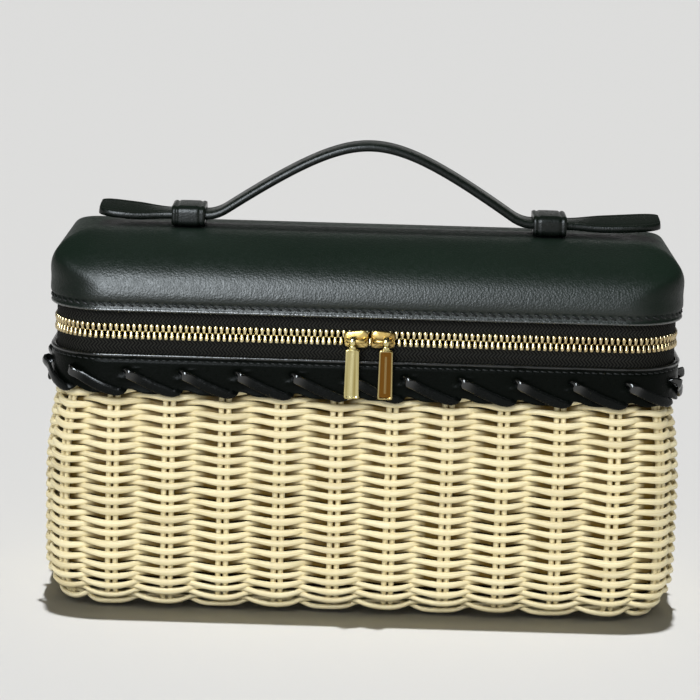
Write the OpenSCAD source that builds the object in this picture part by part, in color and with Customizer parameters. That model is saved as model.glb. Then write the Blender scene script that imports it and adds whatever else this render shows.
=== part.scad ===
// Woven travel bag: a cane basket with a leather collar, a zipped leather lid and a strap handle.
// Millimetres. Origin on the floor under the middle of the basket, front at -Y, +Z up.

/* [Plan] */
// Width of the bag across the lid's rim
plan_w = 264; // [220:1:320]
// Depth of the bag across the lid's rim
plan_d = 105; // [90:1:140]
// Radius of the upright corners
plan_r = 26; // [22:1:32]

/* [Basket] */
// Height of the woven wall
basket_h = 103; // [70:1:130]
// Thickness of the woven wall at its rim
wall_t = 6; // [5:0.5:8]
// Thickness of the woven base
base_t = 6; // [4:0.5:9]
// Height of one woven row
row_pitch = 4.65; // [4:0.05:7]
// Distance between two pairs of stakes
stake_pitch = 23.4; // [20:0.2:30]
// Width of one pair of stakes
stake_w = 7.6; // [5:0.2:9]
// Depth of the furrow between two rows
furrow = 2; // [0.8:0.1:2.6]
// Depth of the dip where two strands cross
dip = 0.9; // [0.3:0.1:1.2]
// Rise of the strands from a pair of stakes to the next crossing
smile = 1.4; // [0:0.1:1.8]
// Height of the rounded foot
foot_h = 19; // [10:1:26]
// How far the foot draws in
foot_in = 12; // [4:0.5:14]
// How far the belly stands out past the lid's rim
belly_out = 2.2; // [0:0.1:3]
// Depth of the woven rows under the base
base_relief = 2.4; // [1:0.1:3]
// Width of a woven row under the base
base_row_w = 3.8; // [2.6:0.1:4]
// How far the rim draws in under the collar
rim_in = 2.7; // [2.7:0.1:4]

/* [Collar and lace] */
// Height of the leather collar
collar_h = 16.5; // [12:0.5:22]
// Thickness of the collar
collar_t = 1.7; // [1:0.1:2.2]
// How far the collar stands above the basket's rim
collar_rise = 6.5; // [5:0.5:9]
// Width of the lace
lace_w = 4; // [3:0.1:5]
// Thickness of the lace
lace_t = 1.4; // [1:0.1:1.8]
// Length of one stitch along the collar
lace_run = 18.5; // [14:0.5:19]
// Height of the lace's holes above the collar's lower edge
hole_up = 7; // [5:0.5:9]
// How far a stitch reaches below the collar's lower edge
lace_under = 1; // [0:0.2:2]

/* [Zip] */
// Height from the collar's upper edge to the middle of the zip
zip_rise = 9.1; // [8:0.1:12]
// Height from the middle of the zip to the lid's rim
rim_rise = 8.4; // [8:0.1:12]
// Thickness of the zip tape
tape_t = 0.8; // [0.6:0.1:1]
// Distance between two teeth of one row
tooth_pitch = 2.4; // [2:0.1:3]
// Width of a tooth along the zip
tooth_w = 1.2; // [0.8:0.1:1.3]
// Thickness of a tooth through the tape
tooth_t = 2.8; // [2.2:0.1:3]
// Height of both rows together
chain_h = 6.6; // [5.6:0.1:7.4]
// Gap between the two rows
row_gap = 0.7; // [0.6:0.1:1]
// Thickness of the leather strip at the back
hinge_t = 1.2; // [0.8:0.1:1.6]
// How far the zip runs round each rear corner, in degrees
zip_end = 60; // [45:5:70]

/* [Sliders] */
// Length of a slider
slider_len = 11; // [9:0.5:13]
// Thickness of a slider's plates
plate_t = 1.1; // [0.9:0.1:1.4]
// Running gap between slider and zip
run_gap = 0.25; // [0.2:0.05:0.35]
// Where the two sliders meet
meet_x = 1.6; // [-10:0.2:10]
// Gap between the two sliders
nose_gap = 0.8; // [0.4:0.1:3]
// Radius of the bridge bar that carries the pull tab
bar_r = 0.9; // [0.7:0.05:1]
// Distance of the bridge bar from the slider's face
bar_out = 3.1; // [2.8:0.1:4]
// Free length of the bridge bar
bar_span = 5.4; // [5:0.1:6.5]
// Clearance round the bridge bar
eye_gap = 0.1; // [0.08:0.01:0.2]

/* [Pull tabs] */
// Width of a pull tab
pull_w = 6.2; // [5:0.1:8]
// Thickness of a pull tab
pull_t = 1.7; // [1.4:0.1:2]
// Length of a pull tab below the bridge bar
pull_len = 24; // [16:0.5:30]
// Width of the raised border
pull_border = 0.7; // [0.5:0.1:1.2]
// Width of the eye
eye_w = 2.6; // [2:0.1:3]
// Wall of the eye
eye_wall = 1.1; // [0.8:0.05:1.3]

/* [Lid] */
// Height of the lid from its rim to its top
lid_h = 29.5; // [24:0.5:44]
// Thickness of the lid's leather
lid_t = 2.2; // [1.6:0.1:3]
// Height of the upright band at the rim
lid_band = 6; // [5:0.5:9]
// Depth of the flat top
top_d = 17; // [17:1:40]
// Reach of the rounded shoulder at the ends
shoulder_w = 24; // [14:1:36]
// Squareness of the shoulder at the front and back
shoulder_n = 2.3; // [2:0.1:4]
// Squareness of the shoulder at the ends
end_n = 3.4; // [2:0.1:5]
// Corner radius of the flat top
top_r = 5; // [3:0.5:10]
// How soon the corners sharpen above the rim
pinch = 9; // [1:0.5:12]
// Thickness of the linings
lining_t = 0.8; // [0.6:0.1:1.2]

/* [Handle] */
// Width of the strap
strap_w = 16; // [12:0.5:20]
// Thickness of the strap
strap_t = 3; // [2:0.1:4]
// Rise of the strap's arch
arch_rise = 31; // [24:1:45]
// Distance of each keeper from the middle
keeper_x = 76.5; // [60:0.5:90]
// Width of a keeper along the strap
keeper_w = 14; // [8:0.5:18]
// Thickness of the keeper's leather
keeper_t = 2.8; // [1:0.1:3]
// Length of the left tail
tail_left = 31; // [20:1:45]
// Length of the right tail
tail_right = 40; // [20:1:45]
// Width of the tails at their widest
tail_w = 19.5; // [16:0.5:26]
// How far the tails lift at their tips
tail_lift = 2; // [0:0.2:4]

/* [Hidden] */
$fn = 48;

// Clearances
fit = 0.2;
soft_fit = 0.35;
lace_fit = 0.05;
fold_gap = 0.3;

// Heights
collar_top = basket_h + collar_rise;
collar_low = collar_top - collar_h;
zip_z = collar_top + zip_rise;
rim_z = zip_z + rim_rise;
lid_top = rim_z + lid_h;
chain_low = zip_z - chain_h / 2;
chain_high = zip_z + chain_h / 2;
tape_low = basket_h + soft_fit;
tape_high = rim_z + lid_band - fit;

// Insets from the lid's rim outline, from the outside in
collar_in = 0.5;
tape_in = max(lid_t, collar_in + collar_t) + 1.5 * fit;
tape_mid = tape_in + tape_t / 2;
tape_back = tape_in + tape_t;
wall_in = rim_in + wall_t;
lining_in = wall_in + soft_fit;
lining_up = tape_in + max(tape_t, hinge_t) + fit;

// Outline of the bag, drawn in by i from the lid's rim
function half_w(i) = plan_w / 2 - i;
function half_d(i) = plan_d / 2 - i;
function corner(i) = max(plan_r - i, 1);
function front_run(i) = 2 * (half_w(i) - corner(i));
function side_run(i) = 2 * (half_d(i) - corner(i));
function corner_run(i) = PI / 2 * corner(i);
function girth(i) = 2 * front_run(i) + 2 * side_run(i) + 4 * corner_run(i);

// Point and heading after travelling s from the middle of the front towards +X, for s up to half the girth
function half_way(s, i) =
    let (r = corner(i), cx = half_w(i) - r, cy = half_d(i) - r,
         s1 = front_run(i) / 2, s2 = s1 + corner_run(i), s3 = s2 + side_run(i), s4 = s3 + corner_run(i))
    s <= s1 ? [s, -half_d(i), 0] :
    s <= s2 ? let (a = (s - s1) / r * 180 / PI) [cx + r * sin(a), -cy - r * cos(a), a] :
    s <= s3 ? [half_w(i), s - s2 - cy, 90] :
    s <= s4 ? let (a = (s - s3) / r * 180 / PI) [cx + r * cos(a), cy + r * sin(a), 90 + a] :
    [cx - (s - s4), half_d(i), 180];
function turned(s, i) = let (g = girth(i)) s - g * floor(s / g + 0.5);
function on_outline(s, i) =
    let (q = turned(s, i), p = half_way(abs(q), i), m = q < 0 ? -1 : 1)
    [m * p[0], p[1], m * p[2]];
function outward(h) = [sin(h), -cos(h)];

// A point on the outline pushed out by d, at height z
function off_outline(s, i, d, z) =
    let (p = on_outline(s, i), n = outward(p[2]))
    [p[0] + n[0] * d, p[1] + n[1] * d, z];

// Side faces between two rings of n points, lower ring first
function quads(lower, upper, n) =
    [for (k = [0 : n - 1]) let (m = (k + 1) % n)
        each [[lower + k, upper + k, upper + m], [lower + k, upper + m, lower + m]]];
function ring(start, n) = [for (k = [0 : n - 1]) start + k];
function fan(start, middle, n) = [for (k = [0 : n - 1]) [start + k, start + (k + 1) % n, middle]];
function flipped(faces) = [for (f = faces) [for (k = [len(f) - 1 : -1 : 0]) f[k]]];

module outline(i) {
    square([2 * half_w(i), side_run(i)], center = true);
    square([front_run(i), 2 * half_d(i)], center = true);
    for (sx = [-1, 1], sy = [-1, 1])
        translate([sx * front_run(i) / 2, sy * side_run(i) / 2])
            circle(corner(i));
}

module band(i_out, i_in, low, high) {
    translate([0, 0, low])
        linear_extrude(high - low)
            difference() {
                outline(i_out);
                outline(i_in);
            }
}

// Basket

rows = floor(basket_h / row_pitch);
row_h = basket_h / rows;
columns = 2 * round(girth(0) / stake_pitch / 2);
column_w = girth(0) / columns;
// Three points to a column: both edges of the stakes, and the crossing
points_per_column = 3;
around = points_per_column * columns;
stake_phase = 12;
levels = 2 * rows;
// Rows that have an open gap beside every pair of stakes
gap_every = 5;
gap_rows = [for (k = [2 : gap_every : rows - 2]) if (len([for (m = [2 : gap_every : k]) m]) * columns <= 120) k];

function at_crossing(k) = k % points_per_column == points_per_column - 1;
function column_s(k) =
    let (c = floor(k / points_per_column), e = k % points_per_column)
    stake_phase + c * column_w + (at_crossing(k) ? column_w / 2 : (e - 0.5) * stake_w);

// How far the wall draws in at height z: a rounded foot, an upright belly and a drawn-in rim
belly_z = basket_h / 2;
function foot_draw(z) = z >= foot_h ? 0 : foot_in * (1 - sqrt(1 - pow((foot_h - z) / foot_h, 2)));
function rim_draw(z) =
    (rim_in + belly_out) * pow(min(1, max(0, (z - belly_z) / (collar_low - belly_z))), 2) - belly_out;

// Level 0 is the foot, odd levels are the rows' ridges, even ones the furrows, and the last one is the rim
function is_edge(j) = j == 0 || j == levels;
function level_z(j, k) = j * row_h / 2 + (is_edge(j) || !at_crossing(k) ? 0 : smile);
function relief(j, k) =
    j % 2 == 1 ? (at_crossing(k) ? dip : 0) : (at_crossing(k) ? (dip + furrow) / 2 : furrow);
function wall_point(j, k) =
    let (z = level_z(j, k), e = foot_draw(z) + rim_draw(z) + (is_edge(j) ? dip : relief(j, k)))
    off_outline(column_s(k), 0, -e, z);

// The inner wall has rings only where a gap starts or ends, and at the floor and the rim
inner_levels = concat([0], [for (k = gap_rows) each [2 * k, 2 * k + 1]], [levels]);
function inner_point(n, k) =
    let (j = inner_levels[n], z = j == 0 ? base_t : level_z(j, k))
    off_outline(column_s(k), 0, -wall_in, z);
function is_gap(j, k) = j % 2 == 0 && len(search(j / 2, gap_rows)) > 0 && k % points_per_column == 1;

// The base is recessed inside the foot, and its woven rows lie in the recess
foot_ring = 2.6;
recess_in = foot_in - belly_out + dip + foot_ring;

module basket() {
    inner0 = (levels + 1) * around;
    last = len(inner_levels) - 1;
    points = concat(
        [for (j = [0 : levels], k = [0 : around - 1]) wall_point(j, k)],
        [for (n = [0 : last], k = [0 : around - 1]) inner_point(n, k)],
        [for (z = [0, base_relief], k = [0 : around - 1]) off_outline(column_s(k), 0, -recess_in, z)],
        [[0, 0, base_relief], [0, 0, base_t]]);
    foot0 = inner0 + (last + 1) * around;
    foot_mid = len(points) - 2;
    floor_mid = len(points) - 1;
    outer = [for (j = [0 : levels - 1], k = [0 : around - 1])
        let (m = (k + 1) % around, a = j * around, b = a + around)
        if (!is_gap(j, k)) each [[a + k, b + k, b + m], [a + k, b + m, a + m]]];
    inner = [for (n = [0 : last - 1], k = [0 : around - 1])
        let (m = (k + 1) % around, a = inner0 + n * around, b = a + around)
        if (!(n % 2 == 1 && is_gap(inner_levels[n], k))) each [[a + k, b + m, b + k], [a + k, a + m, b + m]]];
    // Four walls line each gap from the outer to the inner face
    gap_walls = [for (n = [1 : 2 : last - 1], k = [0 : around - 1])
        if (is_gap(inner_levels[n], k))
        let (m = (k + 1) % around, j = inner_levels[n],
             o = [j * around + k, j * around + m, (j + 1) * around + m, (j + 1) * around + k],
             i = [inner0 + n * around + k, inner0 + n * around + m,
                  inner0 + (n + 1) * around + m, inner0 + (n + 1) * around + k])
        each [for (e = [0 : 3]) let (f = (e + 1) % 4)
            each [[o[e], i[f], o[f]], [o[e], i[e], i[f]]]]];
    color("wheat")
        polyhedron(points, concat(
            quads(foot0, 0, around),
            quads(foot0 + around, foot0, around),
            fan(foot0 + around, foot_mid, around),
            outer,
            quads(levels * around, inner0 + last * around, around),
            inner,
            gap_walls,
            flipped(fan(inner0, floor_mid, around))), convexity = 12);
}

// Base weave: rows that run along the bag under its base, with one in the middle
row_in = recess_in + fit;
row_r = max(corner(row_in), base_row_w);
base_rows = 2 * floor((half_d(row_in) - base_row_w / 2) / row_h) + 1;
function base_row_half(y) =
    let (over = max(0, abs(y) + base_row_w / 2 - half_d(row_in) + row_r))
    half_w(row_in) - row_r + sqrt(max(0, row_r * row_r - over * over));

module base_weave() {
    w = base_row_w / 2;
    top = base_relief - lace_fit;
    color("wheat")
        for (k = [0 : base_rows - 1]) {
            y = (k - (base_rows - 1) / 2) * row_h;
            reach = base_row_half(y);
            translate([-reach, y, 0])
                rotate([90, 0, 90])
                    linear_extrude(2 * reach)
                        polygon([[-w / 2, 0], [w / 2, 0], [w, top / 2], [w, top], [-w, top], [-w, top / 2]]);
        }
}

// Lining: a fabric bag in the basket, turned over its rim

module lining() {
    floor_z = base_t + fit;
    shelf_z = basket_h + fit;
    color("dimgray")
        union() {
            translate([0, 0, floor_z])
                linear_extrude(lining_t)
                    outline(lining_in);
            band(lining_in, lining_in + lining_t, floor_z + lining_t, shelf_z);
            band(lining_up, lining_in + lining_t, shelf_z, shelf_z + lining_t);
            band(lining_up, lining_up + lining_t, shelf_z + lining_t, collar_top - fit);
        }
}

// Collar

module collar() {
    color([0.1, 0.11, 0.1])
        band(collar_in, collar_in + collar_t, collar_low, collar_top);
}

// Lace: one slanted stitch for each pair of stakes, narrow where it leaves its hole

lace_rings = 5;
lace_neck = 0.55;
lace_bulge = 0.4;
lace_drop = hole_up + lace_under;

function stitch_ring(s0, t) =
    let (slant = atan2(lace_drop, lace_run),
         w = lace_w * (lace_neck + (1 - lace_neck) * min(1, 3 * t)) / 2,
         s = s0 + t * lace_run,
         z = collar_low + hole_up - t * lace_drop,
         low = lace_fit + lace_bulge * sin(180 * t))
    [for (c = [[-1, 0], [1, 0], [1, 1], [-1, 1]])
        off_outline(s + c[0] * w * sin(slant), collar_in, low + c[1] * lace_t, z + c[0] * w * cos(slant))];

module stitch(s0) {
    points = [for (k = [0 : lace_rings - 1]) each stitch_ring(s0, k / (lace_rings - 1))];
    sides = [for (k = [0 : lace_rings - 2]) each quads(4 * k, 4 * (k + 1), 4)];
    polyhedron(points, concat(sides, [ring(0, 4)], flipped([ring(4 * (lace_rings - 1), 4)])));
}

module lace() {
    color([0.08, 0.09, 0.08])
        for (k = [0 : columns - 1])
            stitch((k + 0.2) * girth(collar_in) / columns + stake_phase);
}

// Zip: tapes and teeth run along the front and the sides and part of the way round the rear corners

zip_end_y = side_run(tape_in) / 2 + corner(tape_in) * sin(zip_end);
zip_run = front_run(tape_mid) / 2 + corner_run(tape_mid) + side_run(tape_mid)
    + corner(tape_mid) * zip_end * PI / 180;
teeth = floor(zip_run / tooth_pitch) - 1;

module ahead_of_hinge() {
    intersection() {
        children();
        translate([-plan_w, zip_end_y - 2 * plan_d, 0])
            cube([2 * plan_w, 2 * plan_d, 2 * lid_top]);
    }
}

module behind_zip() {
    intersection() {
        children();
        translate([-plan_w, zip_end_y + fit, 0])
            cube([2 * plan_w, plan_d, 2 * lid_top]);
    }
}

module teeth_row(low, high, shift) {
    for (k = [-teeth : teeth - 1]) {
        p = on_outline((k + 0.5 + shift) * tooth_pitch, tape_mid);
        translate([p[0], p[1], (low + high) / 2])
            rotate(p[2])
                cube([tooth_w, tooth_t, high - low], center = true);
    }
}

module zip_tape_lower() {
    color([0.16, 0.16, 0.16])
        ahead_of_hinge() band(tape_in, tape_back, tape_low, chain_low);
}

module zip_tape_upper() {
    color([0.16, 0.16, 0.16])
        ahead_of_hinge() band(tape_in, tape_back, chain_high, tape_high);
}

module zip_teeth_lower() {
    color("gold") teeth_row(chain_low, zip_z - row_gap / 2, 0.25);
}

module zip_teeth_upper() {
    color("gold") teeth_row(zip_z + row_gap / 2, chain_high, -0.25);
}

// Hinge: one leather strip at the back, in two halves that meet at the fold line

module hinge_lower() {
    color([0.1, 0.11, 0.1])
        behind_zip() band(tape_in, tape_in + hinge_t, tape_low, zip_z - fold_gap / 2);
}

module hinge_upper() {
    color([0.1, 0.11, 0.1])
        behind_zip() band(tape_in, tape_in + hinge_t, zip_z + fold_gap / 2, tape_high);
}

// Lid: an upright band at the rim, a rounded shoulder and a flat top whose corners are pinched

corner_steps = 7;
lid_around = 4 * (corner_steps + 1);
lid_rings = 8;
lining_rings = 5;
shoulder_d = (plan_d - top_d) / 2;

// One ring of the lid at angle f of its shoulder, drawn in by i and lowered by drop
function lid_ring(i, drop, f) =
    let (c = pow(cos(f), 2 / shoulder_n), s = f == 0 ? 0 : pow(sin(f), 2 / shoulder_n),
         e = pow(max(0, 1 - pow(s, end_n)), 1 / end_n),
         r = max(top_r - i, 1) + (corner(i) - max(top_r - i, 1)) * pow(c, pinch),
         x = half_w(i) - shoulder_w * (1 - e) - r,
         y = half_d(i) - shoulder_d * (1 - c) - r,
         z = rim_z + lid_band + (lid_h - lid_band - drop) * s)
    [for (q = [0 : 3], a = [0 : corner_steps])
        let (t = 90 * q + 90 * a / corner_steps, sx = q == 0 || q == 3 ? 1 : -1, sy = q < 2 ? 1 : -1)
        [sx * x + r * cos(t), sy * y + r * sin(t), z]];
function rim_ring(i, z) = [for (p = lid_ring(i, 0, 0)) [p[0], p[1], z]];
function lid_skin(i, drop, low, rings) =
    concat(rim_ring(i, low), [for (k = [0 : rings]) each lid_ring(i, drop, 90 * k / rings)]);

module lid_shell(i, t, drop, low, rings) {
    n = lid_around;
    top = (rings + 1) * n;
    inner0 = top + n;
    sides = [for (k = [0 : rings]) each quads(k * n, (k + 1) * n, n)];
    inner_sides = [for (f = flipped(sides)) [for (v = f) v + inner0]];
    polyhedron(concat(lid_skin(i, drop, low, rings), lid_skin(i + t, drop + t, low, rings)), concat(
        sides,
        flipped([ring(top, n)]),
        inner_sides,
        [ring(inner0 + top, n)],
        quads(inner0, 0, n)), convexity = 6);
}

module lid() {
    color([0.1, 0.12, 0.11]) lid_shell(0, lid_t, 0, rim_z, lid_rings);
}

module lid_lining() {
    color("dimgray") lid_shell(lining_up, lining_t, lid_t + fit, rim_z + fit, lining_rings);
}

// Handle: a strap that runs through both keepers, with a rounded arch and a flared tail at each end

strap_fit = 0.15;
strap_z = lid_top + keeper_t + strap_fit + strap_t / 2;
keeper_out = keeper_x + keeper_w / 2;
arch_half = keeper_x - keeper_w / 2 - strap_fit;
arch_rings = 30;
tail_rings = 8;
// Share of the tail at which it is widest, and its width at the tip
tail_peak = 0.72;
tip_w = 0.55 * tail_w;
strap_edge = 0.9;

// The arch is round at the top and nearly straight lower down, and bends level at the keepers
arch_round = 0.43 * arch_half;
arch_foot = 0.13 * arch_half;
arch_low = arch_half - arch_foot;
function hyperbola(x) = sqrt(1 + pow(x / arch_round, 2)) - 1;
function hyperbola_slope(x) = x / (arch_round * arch_round * sqrt(1 + pow(x / arch_round, 2)));
arch_k = arch_rise / (hyperbola(arch_low) + hyperbola_slope(arch_low) * arch_foot / 2);
function arch_drop(x) =
    x < arch_low ? arch_k * hyperbola(x) :
    arch_rise - arch_k * hyperbola_slope(arch_low) * pow(arch_half - x, 2) / (2 * arch_foot);
function arch_fall(x) =
    arch_k * hyperbola_slope(min(x, arch_low)) * (x < arch_low ? 1 : (arch_half - x) / arch_foot);
function arch_z(x) = strap_z + arch_rise - arch_drop(abs(x));
function arch_slope(x) = -sign(x) * atan(arch_fall(abs(x)));
function tail_width(u) =
    u < tail_peak ? strap_w + (tail_w - strap_w) * (1 - cos(180 * u / tail_peak)) / 2 :
    let (v = (u - tail_peak) / (1 - tail_peak)) tip_w + (tail_w - tip_w) * sqrt(1 - v * v);
// Each station of the strap: x, height, slope and width
function tail_station(u, side, length) =
    [side * (keeper_out + u * length), strap_z + tail_lift * u * u,
     side * atan(2 * tail_lift * u / length), tail_width(u)];
strap_stations = concat(
    [for (k = [tail_rings : -1 : 0]) tail_station(k / tail_rings, -1, tail_left)],
    [for (k = [0 : arch_rings]) let (x = arch_half * (2 * k / arch_rings - 1)) [x, arch_z(x), arch_slope(x), strap_w]],
    [for (k = [0 : tail_rings]) tail_station(k / tail_rings, 1, tail_right)]);

function strap_ring(st) =
    let (w = st[3] / 2, t = strap_t / 2, e = strap_edge, a = st[2])
    [for (p = [[-w, -t + e], [-w + e, -t], [w - e, -t], [w, -t + e], [w, t - e], [w - e, t], [-w + e, t], [-w, t - e]])
        [st[0] - p[1] * sin(a), p[0], st[1] + p[1] * cos(a)]];

module handle() {
    n = 8;
    last = len(strap_stations) - 1;
    points = [for (st = strap_stations) each strap_ring(st)];
    sides = [for (k = [0 : last - 1]) each quads(n * k, n * (k + 1), n)];
    color([0.1, 0.11, 0.1])
        polyhedron(points, concat(sides, [ring(0, n)], flipped([ring(n * last, n)])));
}

module rounded_bar(w, h, r) {
    square([w, h - 2 * r], center = true);
    square([w - 2 * r, h], center = true);
    for (sx = [-1, 1], sy = [-1, 1])
        translate([sx * (w / 2 - r), sy * (h / 2 - r)])
            circle(r);
}

module keeper(x) {
    slot_w = strap_w + 2 * strap_fit;
    slot_h = strap_t + 2 * strap_fit;
    keeper_r = 2;
    color([0.1, 0.11, 0.1])
        translate([x - keeper_w / 2, 0, strap_z])
            rotate([90, 0, 90])
                linear_extrude(keeper_w)
                    difference() {
                        rounded_bar(slot_w + 2 * keeper_t, slot_h + 2 * keeper_t, keeper_r);
                        square([slot_w, slot_h], center = true);
                    }
}

module keeper_left() keeper(-keeper_x);
module keeper_right() keeper(keeper_x);

// Sliders: two plates joined by a thin wedge between the rows, open above so that the lid's row lifts out.
// Each is drawn about the zip's middle line with its nose at x = 0 and its tail towards +X.

tooth_front = half_d(tape_mid) + tooth_t / 2;
plate_in = tooth_front + run_gap;
plate_out = plate_in + plate_t;
plate_back = half_d(tape_mid) - tooth_t / 2 - run_gap;
slider_low = chain_h / 2 + run_gap;
lip = 0.9;
nose_up = 4.3;
tail_up = 3.4;
wedge_t = row_gap / 2;
wedge_len = 4;
bar_y = plate_out + bar_out;
bar_z = -0.5;
post_w = 1.1;
bar_mid = slider_len / 2;
pull_mid = bar_mid + 1;

module shield(t) {
    rotate([90, 0, 0])
        linear_extrude(t)
            polygon([[0, -slider_low - lip + 1], [1, -slider_low - lip], [slider_len - 1, -slider_low - lip],
                     [slider_len, -slider_low], [slider_len, tail_up - 1], [slider_len - 1, tail_up],
                     [1.5, nose_up], [0, nose_up - 1.2]]);
}

module slider_body() {
    translate([0, -plate_in, 0]) shield(plate_t);
    translate([0, plate_t - plate_back, 0]) shield(plate_t);
    // Lips that turn in below the lower row, either side of the tape
    translate([1, -plate_in, -slider_low - lip])
        cube([slider_len - 2, plate_in - half_d(tape_in) - run_gap, lip]);
    translate([1, run_gap - half_d(tape_back), -slider_low - lip])
        cube([slider_len - 2, half_d(tape_back) - run_gap - plate_back, lip]);
    translate([0.5, -plate_in, -wedge_t / 2])
        cube([wedge_len, plate_in - plate_back, wedge_t]);
    for (side = [-1, 1])
        translate([bar_mid + side * (bar_span + post_w) / 2 - post_w / 2, -bar_y, bar_z - bar_r])
            cube([post_w, bar_out, 2 * bar_r]);
    for (side = [-1, 1])
        translate([bar_mid + side * (bar_span + post_w) / 2 - post_w / 2, -bar_y, bar_z])
            rotate([0, 90, 0])
                cylinder(r = bar_r, h = post_w);
    translate([bar_mid - bar_span / 2, -bar_y, bar_z])
        rotate([0, 90, 0])
            cylinder(r = bar_r, h = bar_span);
}

module slider_right() {
    color("gold") translate([meet_x + nose_gap / 2, 0, zip_z]) slider_body();
}

module slider_left() {
    color("gold") translate([meet_x - nose_gap / 2, 0, zip_z]) mirror([1, 0, 0]) slider_body();
}

// Pull tabs: a flat bar with a raised border, hung by an eye on the bridge bar

eye_r = bar_r + eye_gap;
eye_out = eye_r + eye_wall;
pull_top = eye_out + 1;
pull_r = 0.9;
pull_sink = 0.3;

module pull() {
    difference() {
        union() {
            translate([-eye_w / 2, 0, 0])
                rotate([0, 90, 0])
                    cylinder(r = eye_out, h = eye_w);
            translate([-eye_w / 2, -pull_t / 2, -pull_top - pull_t])
                cube([eye_w, pull_t, pull_top + pull_t - eye_r]);
            translate([0, pull_t / 2, -(pull_top + pull_len) / 2])
                rotate([90, 0, 0])
                    linear_extrude(pull_t)
                        rounded_bar(pull_w, pull_len - pull_top, pull_r);
        }
        translate([-eye_w, 0, 0])
            rotate([0, 90, 0])
                cylinder(r = eye_r, h = 2 * eye_w);
        translate([0, pull_sink - pull_t / 2, -(pull_top + pull_len) / 2])
            rotate([90, 0, 0])
                linear_extrude(pull_t)
                    square([pull_w - 2 * pull_border, pull_len - pull_top - 2 * pull_border], center = true);
    }
}

module pull_right() {
    color("gold") translate([meet_x + nose_gap / 2 + pull_mid, -bar_y, zip_z + bar_z]) pull();
}

module pull_left() {
    color("gold") translate([meet_x - nose_gap / 2 - pull_mid, -bar_y, zip_z + bar_z]) pull();
}

basket();
base_weave();
lining();
collar();
lace();
zip_tape_lower();
zip_teeth_lower();
hinge_lower();
lid();
lid_lining();
zip_tape_upper();
zip_teeth_upper();
hinge_upper();
handle();
keeper_left();
keeper_right();
slider_left();
slider_right();
pull_left();
pull_right();
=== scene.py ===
import bpy
import numpy as np
from mathutils import Matrix, Vector


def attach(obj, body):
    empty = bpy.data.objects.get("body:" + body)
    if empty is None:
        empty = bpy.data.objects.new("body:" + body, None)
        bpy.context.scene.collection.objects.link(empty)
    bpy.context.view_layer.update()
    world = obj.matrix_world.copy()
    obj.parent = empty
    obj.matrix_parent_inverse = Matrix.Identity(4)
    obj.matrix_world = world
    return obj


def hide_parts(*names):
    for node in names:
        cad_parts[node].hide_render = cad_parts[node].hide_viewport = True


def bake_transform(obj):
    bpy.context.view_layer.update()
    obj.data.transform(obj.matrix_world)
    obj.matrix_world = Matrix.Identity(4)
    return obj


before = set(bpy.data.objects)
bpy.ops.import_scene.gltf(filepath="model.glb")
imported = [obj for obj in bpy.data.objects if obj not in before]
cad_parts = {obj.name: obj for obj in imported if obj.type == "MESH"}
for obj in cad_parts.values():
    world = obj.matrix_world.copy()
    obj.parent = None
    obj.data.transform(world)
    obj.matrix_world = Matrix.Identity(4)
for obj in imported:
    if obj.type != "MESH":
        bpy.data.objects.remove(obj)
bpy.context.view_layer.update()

mm = 0.001
pi = np.pi

# plan of the lid's rim and the heights that the pieces share, in mm
plan = {"width": 264.0, "depth": 105.0, "corner": 26.0}
height = {"basket": 103.0, "collarLow": 93.0, "collarTop": 109.5, "zip": 118.6, "rim": 127.0, "lidTop": 156.5,
          "chainLow": 115.3, "chainHigh": 121.9, "tapeLow": 103.4, "tapeHigh": 132.7}


def linear(hexColour):
    # sRGB hex to linear: the lower part of the curve is straight, the upper part a power of 2.4
    parts = [int(hexColour[k:k + 2], 16) / 255 for k in (1, 3, 5)]
    return [c / 12.92 if c <= 0.04045 else ((c + 0.055) / 1.055) ** 2.4 for c in parts] + [1.0]


def sourceOf(value):
    # a node stands for its first output
    return value.outputs[0] if isinstance(value, bpy.types.Node) else value


def addNode(tree, kind, links=None, **settings):
    # one shader node with its settings, and links or values for its inputs
    node = tree.nodes.new("ShaderNode" + kind)
    for key, value in settings.items():
        setattr(node, key, value)
    for key, value in (links or {}).items():
        source = sourceOf(value)
        if isinstance(source, bpy.types.NodeSocket):
            tree.links.new(source, node.inputs[key])
        else:
            node.inputs[key].default_value = value
    return node


def newMaterial(name, **sockets):
    # constant values are set on the shader's own sockets
    mat = bpy.data.materials.new(name)
    mat.use_nodes = True
    shader = mat.node_tree.nodes["Principled BSDF"]
    for key, value in sockets.items():
        shader.inputs[key.replace("_", " ")].default_value = value
    return mat, mat.node_tree


def finished(mat, **outputs):
    # links node outputs to the shader's sockets
    shader = mat.node_tree.nodes["Principled BSDF"]
    for key, output in outputs.items():
        mat.node_tree.links.new(sourceOf(output), shader.inputs[key.replace("_", " ")])
    return mat


def outline(s, inset=0.0):
    # rounded rectangle walked by length: s mm from the middle of the front towards +X, drawn in by inset
    # returns the point and the outward direction
    s, inset = np.broadcast_arrays(np.asarray(s, float), np.asarray(inset, float))
    r = np.maximum(plan["corner"] - inset, 1.0)
    cx, cy = plan["width"] / 2 - inset - r, plan["depth"] / 2 - inset - r
    s1 = cx
    s2 = s1 + pi / 2 * r
    s3 = s2 + 2 * cy
    s4 = s3 + pi / 2 * r
    whole = 2 * (s4 + cx)
    q = s - whole * np.floor(s / whole + 0.5)
    side, a = np.where(q < 0, -1.0, 1.0), np.abs(q)
    runs = [a <= s1, a <= s2, a <= s3, a <= s4]
    turn = np.select(runs, [0 * a, (a - s1) / r, 0 * a + pi / 2, pi / 2 + (a - s3) / r], pi)
    bx = np.select(runs, [a, cx, cx, cx], cx - (a - s4))
    by = np.select(runs, [-cy, -cy, a - s2 - cy, cy], cy)
    return (side * (bx + r * np.sin(turn)), by - r * np.cos(turn), side * np.sin(turn), -np.cos(turn))


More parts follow.
